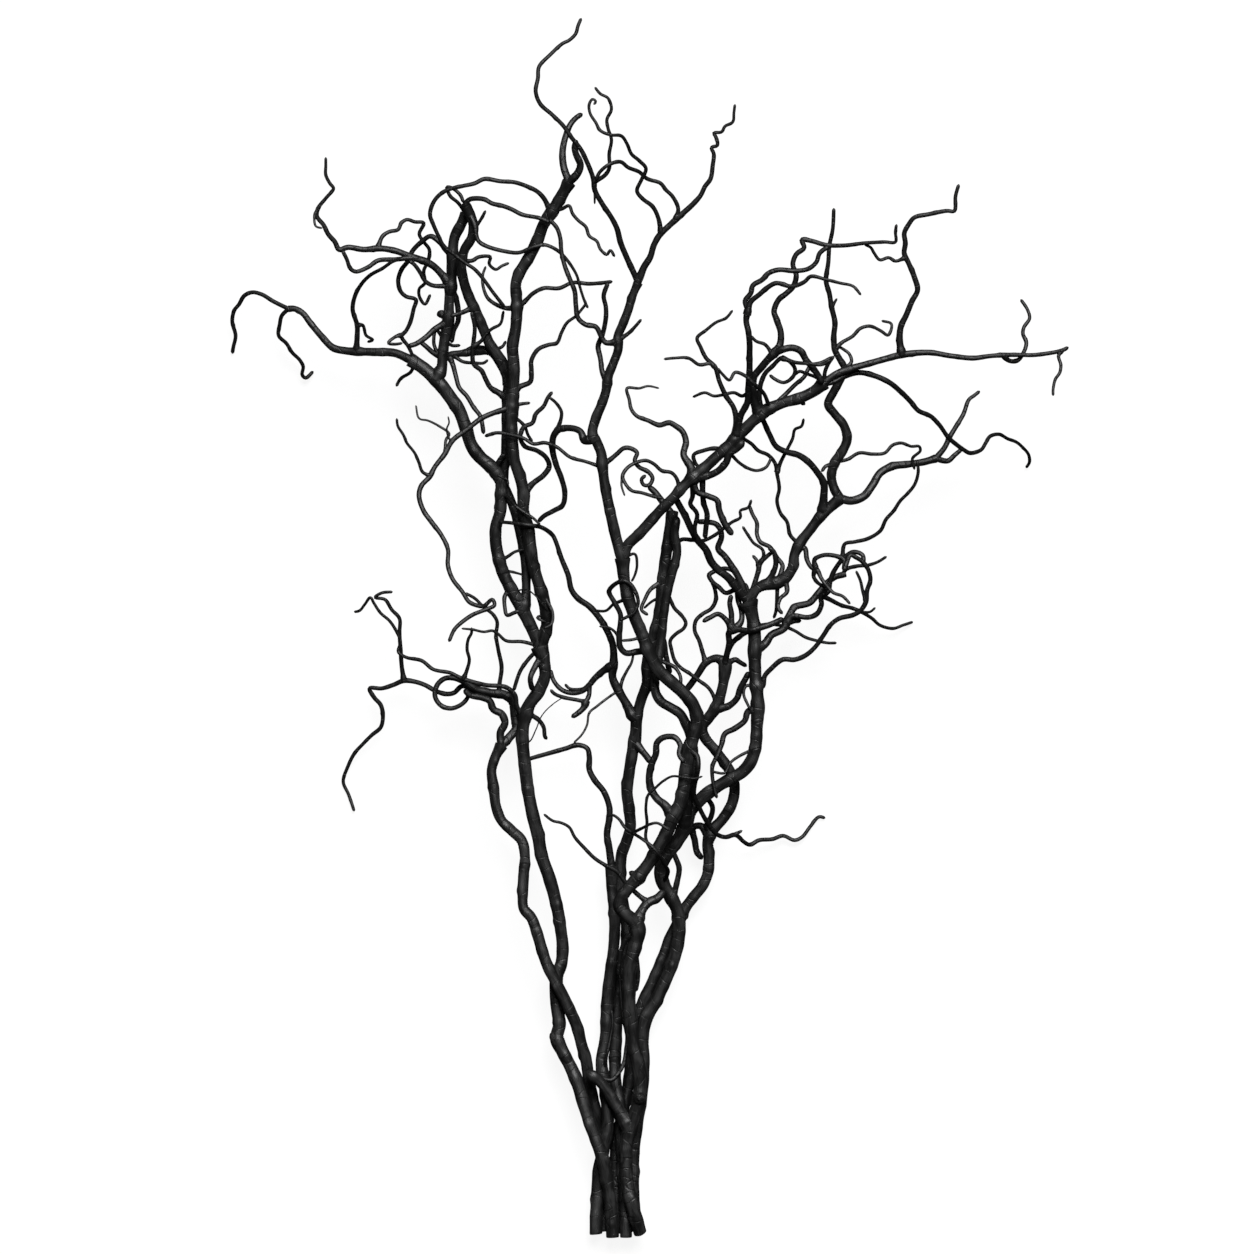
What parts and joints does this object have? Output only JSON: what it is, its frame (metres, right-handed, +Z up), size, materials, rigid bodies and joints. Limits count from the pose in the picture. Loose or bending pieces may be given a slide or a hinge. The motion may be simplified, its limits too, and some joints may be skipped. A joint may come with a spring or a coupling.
{
  "type": "curly willow stem bunch",
  "caption": "Loose bunch of bare black-stained curly willow stems lying down, cut ends together, twigs spreading into a tangled crown.",
  "frame": {"origin": "middle of the bunch's bounding box, on the surface that it lies on", "axes": "+Y from the cut ends to the tips, +X to the right seen from above, +Z up"},
  "size_m": [0.7552, 1.0988, 0.2102],
  "materials": {
    "bark": "satin black-stained bark"
  },
  "bodies": {
    "root": {"left_stem": "bark", "outer_left_stem": "bark", "centre_left_stem": "bark", "front_stem": "bark", "right_stem": "bark", "right_back_stem": "bark", "centre_stem": "bark"}
  },
  "joints": []
}
